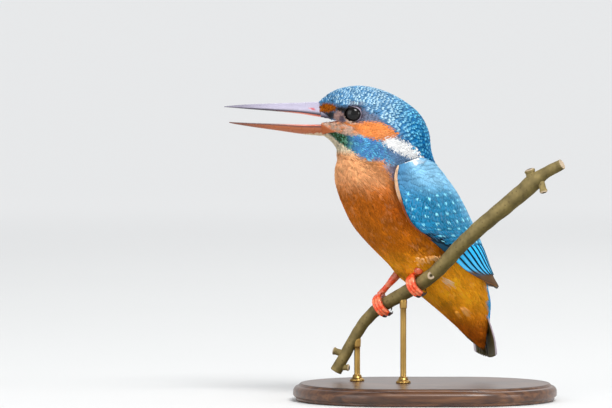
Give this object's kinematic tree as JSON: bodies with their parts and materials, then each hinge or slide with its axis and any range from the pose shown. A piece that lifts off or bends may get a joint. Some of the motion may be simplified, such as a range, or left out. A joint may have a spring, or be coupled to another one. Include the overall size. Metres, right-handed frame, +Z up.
{
  "type": "common kingfisher model on a perch",
  "caption": "Life-size still model of a common kingfisher with an open bill, gripping a cut length of branch that rods hold above a flat display base.",
  "frame": {"origin": "middle of the display base's underside, on the surface that it stands on", "axes": "+Z up, -X the way the bill points, -Y the bird's left side, the one turned to the viewer"},
  "size_m": [0.1398, 0.0815, 0.1309],
  "materials": {
    "crown_feathers": "dark teal feathers with bright cyan spots",
    "neck_feathers": "blue nape and moustache stripe, white neck patch, cream throat",
    "breast_feathers": "soft orange-brown body feathers",
    "vent_feathers": "golden orange vent and undertail feathers, azure rump",
    "wing_feathers": "teal blue covert feathers with rows of cyan spots",
    "flight_feathers": "azure flight feathers with dark edges and brown tips",
    "tail_feathers": "dark blue grey tail feathers",
    "bill_upper": "pale horn with a dark cutting edge, satin",
    "bill_lower": "reddish orange horn, satin",
    "eye": "dark brown, wet gloss",
    "foot": "bright orange red scaled skin",
    "claw": "dark horn",
    "bark": "smooth olive brown bark",
    "base": "dark stained hardwood, satin",
    "rod": "polished brass rod"
  },
  "bodies": {
    "root": {"bill_lower": "bill_lower", "bill_upper": "bill_upper", "claw_left_hind": "claw", "claw_left_inner": "claw", "claw_left_middle": "claw", "claw_left_outer": "claw", "claw_right_hind": "claw", "claw_right_inner": "claw", "claw_right_middle": "claw", "claw_right_outer": "claw", "eye_left": "eye", "eye_right": "eye", "foot_left": "foot", "foot_right": "foot", "head": "crown_feathers", "neck": "neck_feathers", "perch": "bark", "rump": "vent_feathers", "stand_base": "base", "stand_rod_high": "rod", "stand_rod_low": "rod", "tail": "tail_feathers", "thigh_left": "breast_feathers", "thigh_right": "breast_feathers", "trunk": "breast_feathers", "wing_left_coverts": "wing_feathers", "wing_left_flight": "flight_feathers", "wing_right_coverts": "wing_feathers", "wing_right_flight": "flight_feathers"}
  },
  "joints": []
}
